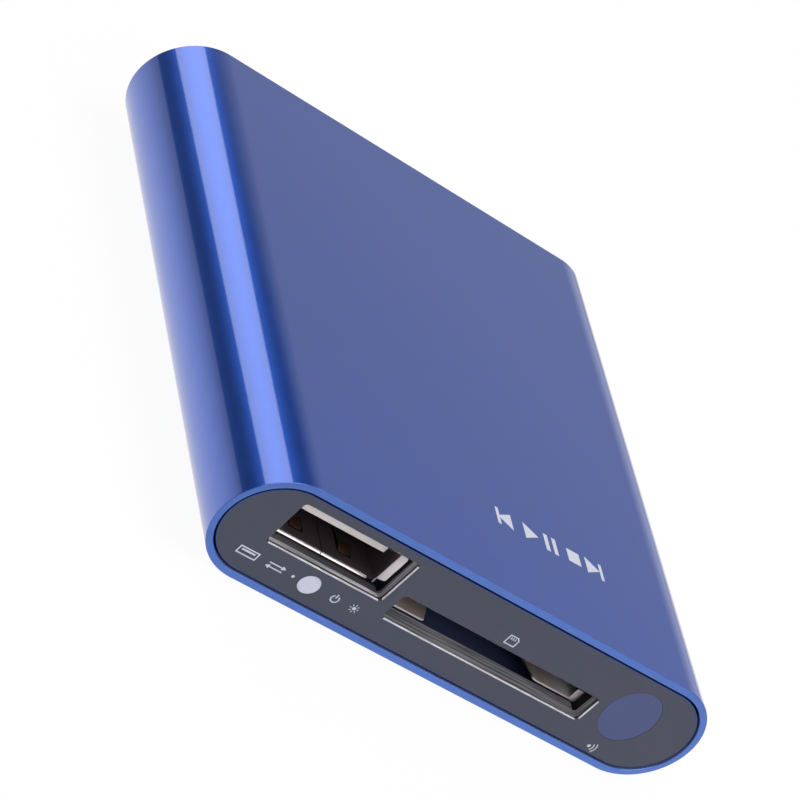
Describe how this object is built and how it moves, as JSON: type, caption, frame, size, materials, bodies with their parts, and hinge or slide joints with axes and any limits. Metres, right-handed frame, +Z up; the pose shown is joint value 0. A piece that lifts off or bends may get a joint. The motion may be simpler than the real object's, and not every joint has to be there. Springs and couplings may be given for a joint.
{
  "type": "media player",
  "caption": "Pocket-size solid-state media player: flat anodised sleeve with round sides, a front panel with a data port, card slot and infrared window, and rear sockets.",
  "frame": {"origin": "middle of the footprint, on the flat face that the player rests on", "axes": "+X to the right across the front panel, +Y from the front to the back, +Z up; the front faces -Y"},
  "size_m": [0.06, 0.0634, 0.0129],
  "materials": {
    "anodised_blue": "satin anodised",
    "panel_grey": "satin, dark slate grey",
    "tape": "matte",
    "window_violet": "smooth, dark violet",
    "light_white": "milky",
    "screw_steel": "satin",
    "board_green": "solder mask",
    "tinned_steel": "tin plated",
    "port_insulator": "matte, warm white",
    "gilded_brass": "gilded",
    "black_plastic": "matte",
    "spring_steel": "bright wire",
    "chip_black": "matte mould compound",
    "thermal_grey": "soft pad",
    "ceramic_tan": "matte"
  },
  "bodies": {
    "player": {"housing_sleeve": "anodised_blue", "front_panel": "panel_grey", "panel_tape": "tape", "infrared_window": "window_violet", "light_pipe": "light_white", "power_light": "light_white", "rear_panel": "panel_grey", "rear_screws": "screw_steel", "main_board": "board_green", "port_shell": "tinned_steel", "port_tongue": "port_insulator", "port_contacts": "gilded_brass", "card_socket_base": "black_plastic", "card_socket_cover": "tinned_steel", "card_contacts": "gilded_brass", "eject_spring": "spring_steel", "video_socket_shell": "tinned_steel", "video_socket_tongue": "black_plastic", "video_socket_contacts": "gilded_brass", "av_jack_body": "black_plastic", "av_jack_bushing": "tinned_steel", "av_jack_springs": "gilded_brass", "dc_jack_body": "black_plastic", "dc_jack_pin": "tinned_steel", "dc_jack_spring": "gilded_brass", "infrared_receiver": "chip_black", "receiver_leads": "tinned_steel", "processor": "chip_black", "thermal_pad": "thermal_grey", "memory_chips": "chip_black", "storage_chip": "chip_black", "storage_chip_leads": "tinned_steel", "crystal": "tinned_steel", "power_inductors": "chip_black", "voltage_regulator": "chip_black", "moulded_capacitors": "ceramic_tan", "ceramic_capacitors": "ceramic_tan"},
    "card_carriage": {"card_carriage": "black_plastic"},
    "cam_pin": {"cam_pin": "spring_steel"}
  },
  "joints": [
    {"name": "card_slide", "type": "slide", "parent": "player", "child": "card_carriage", "axis": [0, 1, 0], "range_m": [0, 0.005], "stiffness_N_per_m": 150, "springref_m": -0.002, "deforming": ["eject_spring"]},
    {"name": "cam_swing", "type": "hinge", "parent": "player", "child": "cam_pin", "pos_m": [-0.0086, -0.0268, 0.0042], "axis": [0, 0, -1], "range_deg": [0, 3.09]}
  ],
  "couplings": [
    {"joint": "cam_swing", "follows": "card_slide", "rad_per_m": 10.771}
  ]
}
